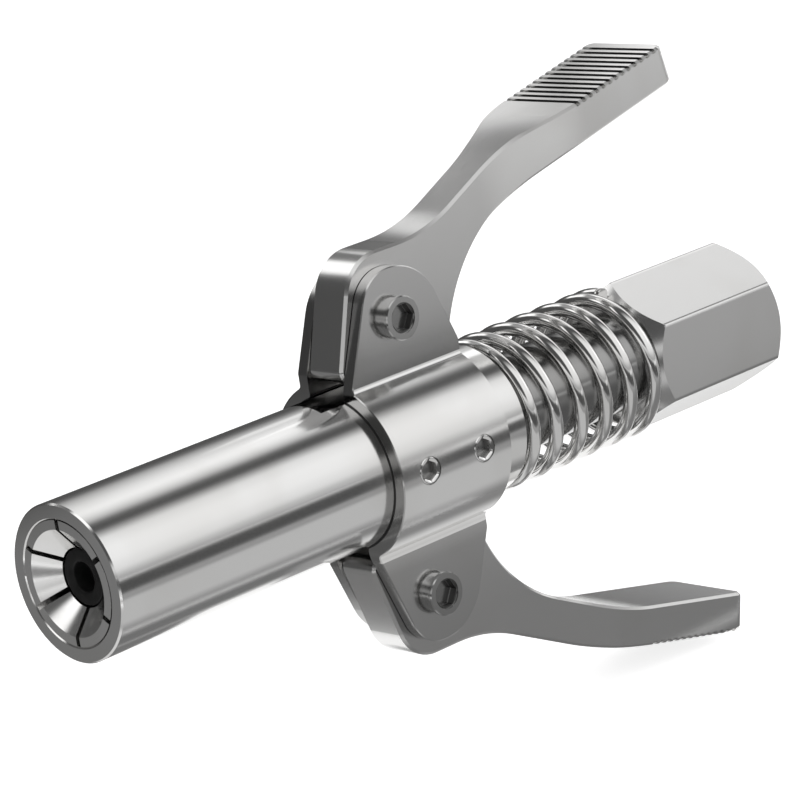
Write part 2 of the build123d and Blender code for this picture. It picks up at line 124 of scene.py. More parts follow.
class Wire:
    """An output socket whose sums add Math nodes to its tree."""

    def __init__(self, tree, socket):
        self.tree = tree
        self.socket = socket
        self.node = socket.node

    def sum(self, operation, first, second=0.0):
        node = self.tree.nodes.new("ShaderNodeMath")
        node.operation = operation
        plug(self.tree, node.inputs[0], first)
        plug(self.tree, node.inputs[1], second)
        return Wire(self.tree, node.outputs[0])

    def __add__(self, other):
        return self.sum("ADD", self, other)

    def __radd__(self, other):
        return self.sum("ADD", other, self)

    def __sub__(self, other):
        return self.sum("SUBTRACT", self, other)

    def __rsub__(self, other):
        return self.sum("SUBTRACT", other, self)

    def __mul__(self, other):
        return self.sum("MULTIPLY", self, other)

    def __rmul__(self, other):
        return self.sum("MULTIPLY", other, self)

    def __truediv__(self, other):
        return self.sum("DIVIDE", self, other)

    def __rtruediv__(self, other):
        return self.sum("DIVIDE", other, self)

    def __abs__(self):
        return self.sum("ABSOLUTE", self)


print("sockets can be added, multiplied and divided")

# %% [markdown]
# Every other node comes from one method. Its settings, such as a ramp's stops or the kind of a mix, are
# set first, because some of them change which sockets the node has. Then its sockets get their values.

# %% One method for any other node
def neutral(grey):
    """A grey as a colour."""
    return (grey, grey, grey, 1.0)


def set_stops(ramp, stops):
    """Stops are (place, grey) pairs."""
    while len(ramp.elements) < len(stops):
        ramp.elements.new(1.0)
    for element, (place, grey) in zip(ramp.elements, stops):
        element.position = place
        element.color = neutral(grey)


class Sheet:
    """A node tree on which nodes are laid out by name."""

    def __init__(self, tree):
        self.tree = tree
        tree.nodes.clear()

    def node(self, kind, settings=None, inputs=None, output=0):
        """Lays one node and hands back one of its outputs, if it has any."""
        node = self.tree.nodes.new(kind)
        for name, value in (settings or {}).items():
            if name == "stops":
                set_stops(node.color_ramp, value)
            else:
                setattr(node, name, value)
        for name, value in (inputs or {}).items():
            plug(self.tree, node.inputs[name], value)
        return Wire(self.tree, node.outputs[output]) if node.outputs else None


def new_sheet(name):
    """A fresh material and the sheet of its nodes."""
    material = bpy.data.materials.new(name)
    material.use_nodes = True
    return material, Sheet(material.node_tree)


print("sheets can be laid out")

# %% [markdown]
# A few groups of nodes come back again and again, so each has a name of its own. The most used is a smooth
# step: it turns a distance into a mask with a soft edge.

# %% Nodes that are used again and again
def maths(sheet, operation, *values):
    """A Math node, for what Python has no sign for."""
    return sheet.node("ShaderNodeMath", {"operation": operation}, dict(enumerate(values)))


def distance(sheet, first, second):
    """How far a place is from an axis, by its two coordinates across it."""
    return maths(sheet, "SQRT", first * first + second * second)


def axes_of(sheet, vector):
    """The X, Y and Z of a vector."""
    split = sheet.node("ShaderNodeSeparateXYZ", {}, {0: vector}).node
    return [Wire(sheet.tree, socket) for socket in split.outputs]


def rising(sheet, value, start, end):
    """A smooth step from 0 at start to 1 at end."""
    return sheet.node(
        "ShaderNodeMapRange",
        {"interpolation_type": "SMOOTHSTEP"},
        {"Value": value, "From Min": start, "From Max": end},
    )


def blend_colour(sheet, share, first, second, blend="MIX"):
    """Mixes two colours by share."""
    settings = {"data_type": "RGBA", "blend_type": blend}
    return sheet.node("ShaderNodeMix", settings, {0: share, 6: first, 7: second}, output=2)


print("shader helpers ready")

# %% [markdown]
# ## The camera
# The viewpoint is low and off to the nose's side, with a long lens, so that the barrel runs from the lower
# left to the upper right with little perspective. The picture is tilted a little as well, which is why the
# plane of the levers leans to the left.

# %% Aim the camera
camera_azimuth = radians(-41.40)
camera_elevation = radians(14.63)
camera_roll = radians(9.09)
camera_distance = 438.99 * MM
camera_target = Vector((-56.76, 0, 5.44)) * MM
camera_lens = 172.57

back = Vector((
    sin(camera_azimuth) * cos(camera_elevation),
    -cos(camera_azimuth) * cos(camera_elevation),
    sin(camera_elevation),
))
camera_data = bpy.data.cameras.new("camera")
camera_data.lens = camera_lens
camera_data.sensor_width = 36.0
camera_data.clip_start = 0.01
camera = bpy.data.objects.new("camera", camera_data)
camera.rotation_mode = "QUATERNION"
camera.location = camera_target + back * camera_distance
camera.rotation_quaternion = back.to_track_quat("Z", "Y") @ Quaternion((0, 0, 1), -camera_roll)
scene.collection.objects.link(camera)
scene.camera = camera
print("camera at", [round(v / MM, 1) for v in camera.location])

# %% [markdown]
# ## The studio
# Bright metal shows its surroundings, so the surroundings are designed as a photographer would build
# them: a long soft box over the front of the barrel, a second one over its back, and a dark gap between
# the two that draws one crisp line along the barrel. A world shader can hold the two boxes as bands of the
# sky. The bands run parallel to the barrel, so only the angle round it counts.

# %% Two soft boxes as bands of the sky
scene.view_settings.view_transform = "Standard"
world = bpy.data.worlds.new("studio")
world.use_nodes = True
scene.world = world

# Each stop is (degrees round the barrel from the far horizon, brightness)
first_angle = -90
sky_bands = [
    (first_angle, 0.12), (12, 0.09), (24, 0.17), (32, 0.40), (40, 0.60), (55, 0.92), (71, 1.15),
    (79, 0.98), (86, 0.72), (95, 0.15), (100, 0.09), (106, 0.09), (113, 0.45), (120, 0.92),
    (136, 1.05), (152, 1.02), (168, 0.86), (176, 0.52), (184, 0.24), (192, 0.12), (269, 0.12),
]

sky = Sheet(world.node_tree)
towards_x, towards_y, towards_z = axes_of(sky, sky.node("ShaderNodeTexCoord", output="Generated"))
turn = maths(sky, "ARCTAN2", towards_z, towards_y)
around = maths(sky, "FRACT", turn / (2 * pi) + (1 - first_angle / 360))
band_stops = [((angle - first_angle) / 360, brightness) for angle, brightness in sky_bands]
bands = sky.node("ShaderNodeValToRGB", {"stops": band_stops}, {"Fac": around})
print("sky bands:", len(sky_bands))

# %% [markdown]
# Towards the nose side the bands fade to dark, because that is where the photographer has hung a black
# cloth: every face that looks along the barrel towards us comes out dark grey, and the barrel's round sides
# stay bright. Behind the barrel the cloth is thick towards the nose, thin over the middle and gone towards
# the hose. On our side it only covers the nose end, and it stops above the horizon, at its hem.

# %% The black cloth
# Each fold is (how far a direction points from the nose side, -1, to the hose side, 1; share let through)
far_folds = [(-0.50, 0.10), (-0.34, 0.38), (0.42, 0.38), (0.56, 1.0)]
near_folds = [(-0.46, 0.05), (-0.30, 1.0)]
near_hem = (0.12, 0.30)
far_edge = (-0.12, 0.12)
cloth_grey = 0.085


def cloth_share(folds):
    """How much of the bands the cloth lets through, by how far a direction points to the nose side."""
    stops = [((side + 1) / 2, share) for side, share in folds]
    return sky.node("ShaderNodeValToRGB", {"stops": stops}, {"Fac": towards_x * 0.5 + 0.5})


far_share = rising(sky, towards_y, *far_edge)
over_hem = rising(sky, towards_z, *near_hem)
near_cloth = 1 - over_hem * (1 - cloth_share(near_folds))
past_cloth = far_share * cloth_share(far_folds) + (1 - far_share) * near_cloth
boxes = maths(sky, "MAXIMUM", bands * past_cloth, cloth_grey)
print("cloth folds:", len(far_folds), "behind and", len(near_folds), "in front")

# %% [markdown]
# Bevels, bends and the levers' slanted backs look past the two boxes, so three smaller lights hang there: a
# window high behind the barrel, a skylight over the nose, and a weaker lamp past the hose end on our side.

# %% Window, skylight and lamp
window_light = 1.25
lamp_light = 0.62
# Each edge is (direction, where it is still dark, where it is full)
window_edges = [
    (towards_x, -0.32, -0.24), (towards_x, 0.20, 0.10), (towards_z, 0.50, 0.58), (towards_y, 0.55, 0.65),
]
skylight_edges = [
    (towards_x, -0.48, -0.56), (towards_z, 0.46, 0.56), (towards_y, -0.10, 0.02), (towards_y, 0.50, 0.40),
]
lamp_edges = [(towards_x, 0.74, 0.82), (towards_z, 0.22, 0.32), (towards_y, 0.12, 0.0)]


def inside(edges):
    """1 within all the edges of a light, 0 outside."""
    share = 1.0
    for towards, dark, full in edges:
        share = share * rising(sky, towards, dark, full)
    return share


windows = (inside(window_edges) + inside(skylight_edges)) * window_light
small_lights = windows + inside(lamp_edges) * lamp_light
sky_light = sky.node("ShaderNodeBackground", {}, {"Color": neutral(1.0), "Strength": boxes + small_lights})
sky.node("ShaderNodeOutputWorld", {}, {"Surface": sky_light})
print("sky nodes:", len(sky.tree.nodes))

# %% [markdown]
# ## Floor
# The floor is a plain white sheet. Lit by the sky alone it would come out pale grey, so for the rays that
# look straight at it, and for those that metal reflects, it also glows a little, up to white. The rest of
# its brightness still comes from the sky, which is what lets the coupler cast a soft shadow.

# %% Lay the floor
floor_gap = 0.3 * MM
floor_reach = 3000 * MM
floor_white = 0.85
floor_glow = 0.78
floor_z = lowest_z - floor_gap


def flat_sheet(name, low, high):
    """A rectangle between two corners that share either their height or their Y."""
    corners = [low, (high.x, low.y, low.z), high, (low.x, high.y, high.z)]
    mesh = bpy.data.meshes.new(name)
    mesh.from_pydata([tuple(corner) for corner in corners], [], [(0, 1, 2, 3)])
    made = bpy.data.objects.new(name, mesh)
    scene.collection.objects.link(made)
    return made


floor_low = Vector((-floor_reach, -floor_reach, floor_z))
floor_high = Vector((floor_reach, floor_reach, floor_z))
floor = flat_sheet("floor", floor_low, floor_high)
floor_paper, paper = new_sheet("floor_paper")
seen_directly = paper.node("ShaderNodeLightPath", output="Is Camera Ray")
seen_in_metal = paper.node("ShaderNodeLightPath", output="Is Glossy Ray")
seen_through = paper.node("ShaderNodeLightPath", output="Is Transmission Ray")
seen = seen_directly + seen_in_metal + seen_through
lit = paper.node("ShaderNodeBsdfDiffuse", {}, {"Color": neutral(floor_white)})
glow = paper.node("ShaderNodeEmission", {}, {"Strength": seen * floor_glow})
lit_and_glowing = paper.node("ShaderNodeAddShader", {}, {0: lit, 1: glow})
paper.node("ShaderNodeOutputMaterial", {}, {"Surface": lit_and_glowing})
floor.data.materials.append(floor_paper)
print("floor at", round(floor_z / MM, 2), "mm")

# %% [markdown]
# ## Cards
# A chrome barrel on a white table looks washed out. Photographers stand and lay cards just outside the
# picture so that the metal has something darker to show. Ours are hidden from the camera and cast no
# shadow, and only reflections find them. Their edges are feathered, so that no hard line shows in the
# metal, and a card may fade from one grey to another along its length.

# %% A card
def card_paper(name, low, high, grey, feather, fade):
    """Clear at the card's edges, and glowing with its grey inside them."""
    material, sheet = new_sheet(name)
    here = axes_of(sheet, sheet.node("ShaderNodeTexCoord", output="Object"))
    shown = 1.0
    for place, start, end in zip(here, low, high):
        if start < end:
            shown = shown * rising(sheet, place, start, start + feather)
            shown = shown * rising(sheet, place, end, end - feather)
    colour = neutral(grey)
    if fade:
        axis, fade_start, fade_end, last_grey = fade
        share = rising(sheet, here["XYZ".index(axis)], fade_start * MM, fade_end * MM)
        colour = blend_colour(sheet, share, colour, neutral(last_grey))
    clear = sheet.node("ShaderNodeBsdfTransparent")
    shade = sheet.node("ShaderNodeEmission", {}, {"Color": colour})
    feathered = sheet.node("ShaderNodeMixShader", {}, {0: shown, 1: clear, 2: shade})
    sheet.node("ShaderNodeOutputMaterial", {}, {"Surface": feathered})
    return material


def card(name, low, high, grey, feather, fade=None):
    """Corners, feather and fade are in millimetres. fade is (axis, start, end, last grey)."""
    low = Vector(low) * MM
    high = Vector(high) * MM
    made = flat_sheet(name, low, high)
    made.data.materials.append(card_paper(name, low, high, grey, feather * MM, fade))
    made.visible_camera = False
    made.visible_diffuse = False
    made.visible_transmission = False
    made.visible_volume_scatter = False
    made.visible_shadow = False


print("cards can be made")

# %% [markdown]
# The cards on the floor in front and behind give the flat sides their greys. The upper lever looks furthest
# along the floor in front, so the cards grow lighter that way. A strip right under the barrel draws the dark
# line low on it, and a small card under the lower lever fills the front card's soft edge there. The far
# card makes the thin dark outline along every upper edge.

# %% Cards on the floor in front and behind
card_floor = floor_z / MM + 0.5
front_floor = card_floor + 0.5
nose_floor = card_floor + 1.0
jaw_floor = card_floor + 1.5

card("card_front", (-150, -3000, card_floor), (3000, -8, card_floor), 0.22, 8, ("Y", -40, -110, 0.42))
card("card_lever", (-150, -3000, front_floor), (3000, -215, front_floor), 0.55, 25, ("Y", -300, -360, 0.82))
card("card_under", (-140, -16, front_floor), (60, 12, front_floor), 0.19, 10)
card("card_heel", (-32, -20, jaw_floor), (-2, -7, jaw_floor), 0.22, 3)
card("card_back", (10, 18, front_floor), (500, 112, front_floor), 0.84, 6)
card("card_far", (-75, 118, card_floor), (3000, 3000, card_floor), 0.09, 12)
print("floor cards laid, the first at", round(card_floor, 2), "mm")

# %% [markdown]
# The nose looks the other way, along the floor to the left. Its front ring shows a large dark card, and the
# ring's top a darker one. The bevels that turn towards us show a pale card, the cone of the mouth a dark one,
# and the jaws a pale one close by.

# %% Cards past the nose
card("card_nose", (-3000, 3, nose_floor), (-70, 3000, nose_floor), 0.20, 5, ("Y", 145, 190, 0.085))
card("card_edge", (-234, 126, jaw_floor), (-175, 190, jaw_floor), 0.09, 6)
card("card_left", (-3000, -3000, nose_floor), (-150, -60, nose_floor), 0.70, 15)
card("card_cone", (-240, -62, nose_floor), (-160, 5, nose_floor), 0.20, 10)
card("card_jaws", (-158, -20, jaw_floor), (-102, 44, jaw_floor), 0.75, 6)
print("nose cards laid")

# %% [markdown]
# The last cards stand or hang close to the metal. Two dark strips stand in front, from about the height of
# the axis down, and draw the dark line along the barrel's side and its collar. A pale strip hung just below
# the barrel keeps the band between its two dark lines light. A small one lights the collar's lower bend, and
# another keeps the lower lever's heel grey. Two bright ones stand behind, for the tops of the upper lever
# and its pad.

# %% Cards close to the metal
card("card_axis", (-190, -60, -24), (-17, -60, 2), 0.08, 7)
card("card_collar", (-24, -60, -24), (12, -60, -3), 0.08, 6)
card("card_keel", (-125, -31, -12.2), (-28, -8, -12.2), 0.56, 5)
card("card_bend", (-68, -8.8, -10.5), (-45, -3.8, -10.5), 0.27, 0.3, ("Y", -7.4, -4.8, 0.72))
card("card_toe", (-62, -5, -34), (-43, 16, -34), 0.34, 4)
card("card_head", (-24, 60, 55), (24, 60, 78), 0.95, 4)
card("card_pad", (20, 60, 74), (150, 60, 140), 1.3, 4)
cards = [thing.name for thing in scene.objects if thing.name.startswith("card_")]
print("stage:", len(cards), "cards and a floor")

# %% [markdown]
# ## Nickel plate
# Plated steel is a metal shader with a nearly neutral grey. What makes it look like one piece and not
# another is how rough it is and which way its marks run: a turned barrel has rings round it, a ground lever
# has lines along it, and a tumbled stamping has a fine even tooth. All of them get the same recipe with a
# different stretch of one noise.
# Painted shade on a piece is a function of the place. Shade is painted into the base colour where light
# hardly reaches: in the grooves of the thumb pads, in the sockets, and in the corner where the collar sits on
# the sleeve. Each function gives 0 where no shade is painted, and up to 1 where the painted shade is darkest.

# %% Painted shade in the pads' grooves and under the collar
pad_angle = radians(12.6)
pad_half_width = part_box("lever_top")[1].y / MM
pad_points = [vertex.co for vertex in nodes["lever_top"].data.vertices]
pad_level = max(point.z * cos(pad_angle) - point.x * sin(pad_angle) for point in pad_points) / MM
pad_tip = max(point.x * cos(pad_angle) + point.z * sin(pad_angle) for point in pad_points) / MM

# Each pair is (where the painted shade starts, where it is full), in millimetres
groove_top = (0.12, 0.30)
groove_bottom = (0.62, 0.55)
groove_end = (0.8, 1.1)
first_groove = (1.30, 1.45)
last_groove = (17.0, 16.7)
seam_height = (0.26, 0.14)


# Painted shade: the grooves' floors are darkened for the shade that falls in them
def pad_groove_shade(sheet, x, y, z):
    """Painted shade: 1 down in the grooves of the two thumb pads, 0 elsewhere."""
    height = abs(z)
    depth = pad_level - (height * cos(pad_angle) - x * sin(pad_angle))
    from_tip = pad_tip - (x * cos(pad_angle) + height * sin(pad_angle))
    from_side = pad_half_width - abs(y)
    return (
        rising(sheet, depth, *groove_top)
        * rising(sheet, depth, *groove_bottom)
        * rising(sheet, from_side, *groove_end)
        * rising(sheet, from_tip, *first_groove)
        * rising(sheet, from_tip, *last_groove)
    )


# Painted shadow: a dark line in the gap where the collar's ends sit on the sleeve
def seam_shade(sheet, x, y, z):
    """Painted shadow: 1 along the inner corner of the collar's ends, where they sit on the sleeve."""
    return rising(sheet, distance(sheet, y, z) - sleeve_radius / MM, *seam_height)


print("thumb pad", round(2 * pad_half_width, 2), "mm wide")

# %% [markdown]
# Shade is painted into the sockets as well. A set screw's socket is painted darker with its depth. A
# pivot's is painted dark on its wall and lighter on its floor, so that its hexagon can be read.

# %% Painted shade in the sockets
screw_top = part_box("set_screws")[1].y / MM
pivot_low, pivot_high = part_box("pivot_barrel_top")
pivot_centre = (pivot_low + pivot_high) / 2 / MM
pivot_face = -pivot_low.y / MM
pivot_mouth = 1.8

# Each pair is (where the painted shade starts, where it is full), in millimetres
screw_socket_depth = (0.10, 0.70)
pivot_socket_depth = (0.05, 0.20)
pivot_floor_depth = (1.15, 1.05)
pivot_edge = 0.08
# How dark the painted shade in the sockets gets
screw_socket_shade = 0.6
pivot_wall_shade = 0.8
pivot_floor_shade = 0.3


def socket_shade(sheet, x, y, z):
    """Painted shade that rises with the depth into a set screw's socket."""
    return rising(sheet, screw_top - abs(y), *screw_socket_depth) * screw_socket_shade


def pivot_shade(sheet, x, y, z):
    """Painted shade: dark on the wall of a pivot's socket, and lighter on its floor."""
    radius = distance(sheet, x - pivot_centre.x, abs(z) - pivot_centre.z)
    depth = pivot_face - abs(y)
    in_mouth = rising(sheet, radius, pivot_mouth, pivot_mouth - pivot_edge)
    on_wall = rising(sheet, depth, *pivot_floor_depth)
    painted_dark = pivot_floor_shade + on_wall * (pivot_wall_shade - pivot_floor_shade)
    return rising(sheet, depth, *pivot_socket_depth) * in_mouth * painted_dark


print("pivot heads' faces at", round(pivot_face, 2), "mm")

# %% [markdown]
# A spanner rubs the hexagon's long corners round. Only the bump has to know: the surface sinks a little as
# it comes near a corner, and the light there spreads. The same sixth of a turn serves for all six corners,
# because the angle round the barrel is folded into it.

# %% Rubbed corners of the hexagon
hex_half_flats = inlet_high.y / MM
flat_turn = pi / 3
rub_width = 0.36
rub_depth = 0.085
flat_skin = (-0.06, -0.02)


def hexagon_corners(sheet, x, y, z):
    """How far the hexagon's long corners are rubbed down, in millimetres."""
    turn = maths(sheet, "ARCTAN2", z, y)
    from_flat = abs(maths(sheet, "FLOORED_MODULO", turn + flat_turn / 2, flat_turn) - flat_turn / 2)
    across = distance(sheet, y, z)
    level = across * maths(sheet, "COSINE", from_flat)
    along = across * maths(sheet, "SINE", from_flat)
    corner = hex_half_flats * tan(flat_turn / 2)
    near = maths(sheet, "MAXIMUM", (along - corner) / rub_width + 1, 0.0)
    on_flat = rising(sheet, level - hex_half_flats, *flat_skin)
    return near * near * on_flat * (-rub_depth)


print("hexagon", round(2 * hex_half_flats, 2), "mm across flats")

# %% [markdown]
# The recipe puts these together. The marks are far finer than a fingernail would feel, so they mostly move
# the roughness, and only tip the surface by a fraction of a degree. Handling leaves larger, softer patches
# where the plate is a bit duller. A stamping is polished where it was rolled round the barrel, but its ears
# stay satin. Its faces that point along X, where the press cut it, are painted darker: painted shade.

# %% The recipe for plated metal
plate_tint = (1.0, 0.996, 0.988)
patches_per_mm = 0.07
patch_levels = (0.40, 0.68)
patch_dulling = 0.05
patch_roughness = 0.02
mark_roughness = 0.25
# Painted shade in hollows: its near-black grey, and the roughness it adds there
painted_shade_grey = 0.06
painted_shade_roughness = 0.25
# Painted shade on faces along X: the range of facing over which it comes in
x_facing_shade_range = (0.5, 0.85)


def tinted(grey):
    """A grey with the slight warmth of nickel."""
    return (*(grey * part for part in plate_tint), 1.0)


def plated(
    name, grey, roughness, stretch, depth, satin=None, x_facing_shade_grey=None, painted_shade=None, rubbed=None
):
    """stretch is the marks' fineness along X, Y and Z, per millimetre, and depth their depth in mm.

    satin is (start height, full height, grey, roughness) for the ears. The grey after it is painted shade for
    faces that point along X. The last two are functions of the place, one for where shade is painted and one
    for how high the metal is.
    """
    material, sheet = new_sheet(name)
    place = sheet.node("ShaderNodeTexCoord", output="Object")
    here = [part / MM for part in axes_of(sheet, place)]
    scale = [per_mm / MM for per_mm in stretch]
    fine_place = sheet.node("ShaderNodeVectorMath", {"operation": "MULTIPLY"}, {0: place, 1: scale})
    marks = sheet.node("ShaderNodeTexNoise", {}, {"Vector": fine_place, "Scale": 1.0, "Detail": 2.0})
    patch_noise = {"Vector": place, "Scale": patches_per_mm / MM, "Detail": 2.0, "Distortion": 0.5}
    patch = rising(sheet, sheet.node("ShaderNodeTexNoise", {}, patch_noise), *patch_levels)
    bright = tinted(grey)
    rough = roughness
    height = marks
    if satin:
        start, full, satin_grey, satin_rough = satin
        ear = rising(sheet, abs(here[2]), start, full)
        bright = blend_colour(sheet, ear, bright, tinted(satin_grey))
        rough = roughness + ear * (satin_rough - roughness)
    # Painted shade: faces that point along X are given a darker grey
    if x_facing_shade_grey:
        facing = axes_of(sheet, sheet.node("ShaderNodeTexCoord", output="Normal"))
        bright = blend_colour(sheet, rising(sheet, abs(facing[0]), *x_facing_shade_range), bright, tinted(x_facing_shade_grey))
    # Painted shade: where the place function says so, the base colour goes towards near black and the metal
    # rougher
    if painted_shade:
        painted_dark = painted_shade(sheet, *here)
        bright = blend_colour(sheet, painted_dark, bright, tinted(painted_shade_grey))
        rough = rough + painted_dark * painted_shade_roughness
    if rubbed:
        height = marks + rubbed(sheet, *here) / depth
    bump = {"Strength": 1.0, "Distance": depth * MM, "Height": height}
    steel = sheet.node("ShaderNodeBsdfPrincipled", {}, {
        "Base Color": blend_colour(sheet, patch, bright, tinted(1 - patch_dulling), "MULTIPLY"),
        "Metallic": 1.0,
        "Roughness": rough + (marks - 0.5) * (roughness * mark_roughness) + patch * patch_roughness,
        "Normal": sheet.node("ShaderNodeBump", {}, bump, output="Normal"),
    })
    sheet.node("ShaderNodeOutputMaterial", {}, {"Surface": steel})
    return material


print("plate recipe ready")

# %% [markdown]
# Each piece's finish is then one line: how bright, how rough, which marks, and where shade is painted on it.
# The stem is polished and unplated, which makes it darker, and its grey is set lower still as painted shade
# for the inside of the spring. The hidden steel behind it is darker and duller still.

# %% Mix the finishes
# Marks per millimetre along X, Y and Z
turned_marks = (7, 0.3, 0.3)
drawn_marks = (0.4, 3, 3)
ground_marks = (0.5, 2.5, 1.5)
tumbled_marks = (2, 2, 2)
fine_marks = (3, 3, 3)

satin_ears = (10.8, 12.6, 0.68, 0.18)

sleeve_plate = plated("sleeve_plate", 0.80, 0.13, turned_marks, 0.00012)
hexagon_plate = plated("hexagon_plate", 0.76, 0.20, drawn_marks, 0.00012, rubbed=hexagon_corners)
# The clamp, lever, screw and pivot plates get painted shade in their hollows, and the clamp on its faces along
# X too
clamp_plate = plated(
    "clamp_plate", 0.80, 0.15, tumbled_marks, 0.00015, satin=satin_ears, x_facing_shade_grey=0.40, painted_shade=seam_shade
)
lever_plate = plated("lever_plate", 0.76, 0.20, ground_marks, 0.00015, painted_shade=pad_groove_shade)
screw_plate = plated("screw_plate", 0.84, 0.12, fine_marks, 0.0001, painted_shade=socket_shade)
# The pivots' grey is set low as painted shade for the dark sides of their heads
pivot_plate = plated("pivot_plate", 0.50, 0.14, fine_marks, 0.0001, painted_shade=pivot_shade)
jaw_steel = plated("jaw_steel", 0.86, 0.18, tumbled_marks, 0.00015)
# Both stem greys are set low, partly as painted shade for the inside of the spring
stem_steel = plated("stem_steel", 0.24, 0.26, turned_marks, 0.0001)
stem_polish = plated("stem_polish", 0.34, 0.12, turned_marks, 0.0001)
spring_steel = plated("spring_steel", 0.80, 0.09, tumbled_marks, 0.0001)
ball_steel = plated("ball_steel", 0.80, 0.08, fine_marks, 0.00005)
print("finishes:", [material.name for material in bpy.data.materials if material.name.endswith("_plate")])

# %% [markdown]
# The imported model's pieces keep their meshes. Only the material in their slot changes.

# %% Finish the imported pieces
def finish_with(material, *names):
    """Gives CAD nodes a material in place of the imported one."""
    for name in names:
        piece = nodes[name]
        piece.data.materials.clear()
        piece.data.materials.append(material)


jaws = [name for name in nodes if name.startswith("jaw_")]
finish_with(sleeve_plate, "outer_sleeve")
finish_with(hexagon_plate, "inlet_body")
finish_with(clamp_plate, "clamp_half_near", "clamp_half_far")
finish_with(lever_plate, "lever_top", "lever_bottom")
finish_with(pivot_plate, "pivot_barrel_top", "pivot_barrel_bottom")
finish_with(pivot_plate, "pivot_screw_top", "pivot_screw_bottom")
finish_with(jaw_steel, *jaws)
finish_with(stem_polish, "stem")
finish_with(stem_steel, "valve_seat", "guide_bush", "seal_piston")
finish_with(ball_steel, "check_ball")
print("jaws:", len(jaws))

# %% [markdown]
# ## Black rubber
# The seal at the bottom of the nose is moulded nitrile: nearly black, with a faint sheen and a fine tooth
# from its mould. A cloud of two dark greys keeps it from looking like a hole in the picture.

# %% The rubber
rubber_greys = [(0.3, 0.011), (0.7, 0.020)]
rubber_roughness = 0.36
rubber_sheen = 0.2
tooth_roughness = 0.15
tooth_depth = 0.003 * MM
tooth_per_mm = 6
clouds_per_mm = 0.8

rubber, mould = new_sheet("seal_rubber")
mould_place = mould.node("ShaderNodeTexCoord", output="Object")
tooth_noise = {"Vector": mould_place, "Scale": tooth_per_mm / MM, "Detail": 3.0}
cloud_noise = {"Vector": mould_place, "Scale": clouds_per_mm / MM, "Detail": 2.0}
tooth = mould.node("ShaderNodeTexNoise", {}, tooth_noise)
cloud = mould.node("ShaderNodeTexNoise", {}, cloud_noise)
tooth_bump = {"Strength": 1.0, "Distance": tooth_depth, "Height": tooth}
moulded = mould.node("ShaderNodeBsdfPrincipled", {}, {
    "Base Color": mould.node("ShaderNodeValToRGB", {"stops": rubber_greys}, {"Fac": cloud}),
    "Roughness": rubber_roughness + tooth * tooth_roughness,
    "Specular IOR Level": rubber_sheen,
    "Normal": mould.node("ShaderNodeBump", {}, tooth_bump, output="Normal"),
})
mould.node("ShaderNodeOutputMaterial", {}, {"Surface": moulded})
print("rubber nodes:", len(mould.tree.nodes))

# %% [markdown]
# ## Meshes from rings
# All the new pieces are made in the same way: rings of points, each joined to the next by a band of faces.
# A turned piece closes on itself, so its last ring joins its first. On machined pieces the sharp edges are
# found by their angle.

# %% Rings, skin and piece
hard_edge = radians(35)


def ring_about_x(mesh, x, radii):
    """Points round the X axis, one for each radius."""
    ring = []
    for side, radius in enumerate(radii):
        angle = 2 * pi * side / len(radii)
        ring.append(mesh.verts.new((x, radius * cos(angle), radius * sin(angle))))
    return ring


def skin(mesh, rings, closed=False):
    """Joins each ring to the next by a band of faces."""
    following = rings[1:] + rings[:1] if closed else rings[1:]
    for first, second in zip(rings, following):
        for side in range(len(first)):
            after = (side + 1) % len(first)
            mesh.faces.new((first[side], first[after], second[after], second[side]))


def piece_from(mesh, name, material, hard=None):
    """Makes an object of a bmesh, smooth but for the ends of wires and the edges over the hard angle."""
    bmesh.ops.recalc_face_normals(mesh, faces=mesh.faces)
    data = bpy.data.meshes.new(name)
    mesh.to_mesh(data)
    mesh.free()
    for face in data.polygons:
        face.use_smooth = len(face.vertices) <= 4
    if hard:
        data.set_sharp_from_angle(angle=hard)
    data.materials.append(material)
    piece = bpy.data.objects.new(name, data)
    scene.collection.objects.link(piece)
    print(name, len(data.polygons), "faces")
    return piece


print("edges are hard from", round(hard_edge * 180 / pi), "degrees")

# %% [markdown]
# ## The seal's face
# The seal is the one part that touches the nipple. Its face is a flat disc that stands a little proud of the
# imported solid, with a round rim and a round edge to its hole, because rubber isn't moulded sharp. The ring is
# turned like any round part: a list of stations along the axis, each with a radius.

# %% Turn the seal
turned_sides = 96
seal_low, seal_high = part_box("seal")
seal_front = seal_low.x / MM
seal_rear = seal_high.x / MM
seal_outer = seal_high.z / MM
seal_hole = 1.7
face_rise = 0.5
face_x = seal_front - face_rise

# Each point is (behind the face, in from the rim or out from the hole), in millimetres
rim_round = [(0.25, 0), (0.11, 0.04), (0.03, 0.12), (0, 0.25)]
hole_round = [(0, 0.30), (0.04, 0.14), (0.14, 0.04), (0.30, 0)]

seal_stations = [(seal_rear, seal_outer)]
seal_stations += [(face_x + behind, seal_outer - inward) for behind, inward in rim_round]
seal_stations += [(face_x + behind, seal_hole + outward) for behind, outward in hole_round]
seal_stations += [(seal_rear, seal_hole)]

seal_mesh = bmesh.new()
seal_rings = [ring_about_x(seal_mesh, x * MM, [radius * MM] * turned_sides) for x, radius in seal_stations]
skin(seal_mesh, seal_rings, closed=True)
seal_ring = piece_from(seal_mesh, "seal_ring", rubber, hard=hard_edge)
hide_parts("seal")
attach(seal_ring, "seal_body")

# %% [markdown]
# ## Set screws
# Four cup screws hold the clamp halves to the sleeve. Each one has a wide hexagon socket, with a turned
# bevel at its mouth and a drilled dimple at its foot. A ring of the mesh can be a circle or a hexagon,
# because both are only a radius for each angle.

# %% The screw's levels
screw_sides = 72
screw_length = 3.2 * MM
screw_edge = 0.14 * MM
socket_mouth = 1.36 * MM
socket_flat = 1.06 * MM
socket_bevel = 0.16 * MM
socket_depth = 1.0 * MM
dimple_radius = 0.6 * MM
dimple_depth = 1.2 * MM


def circle(radius):
    """The same radius at any angle."""
    return lambda angle: radius


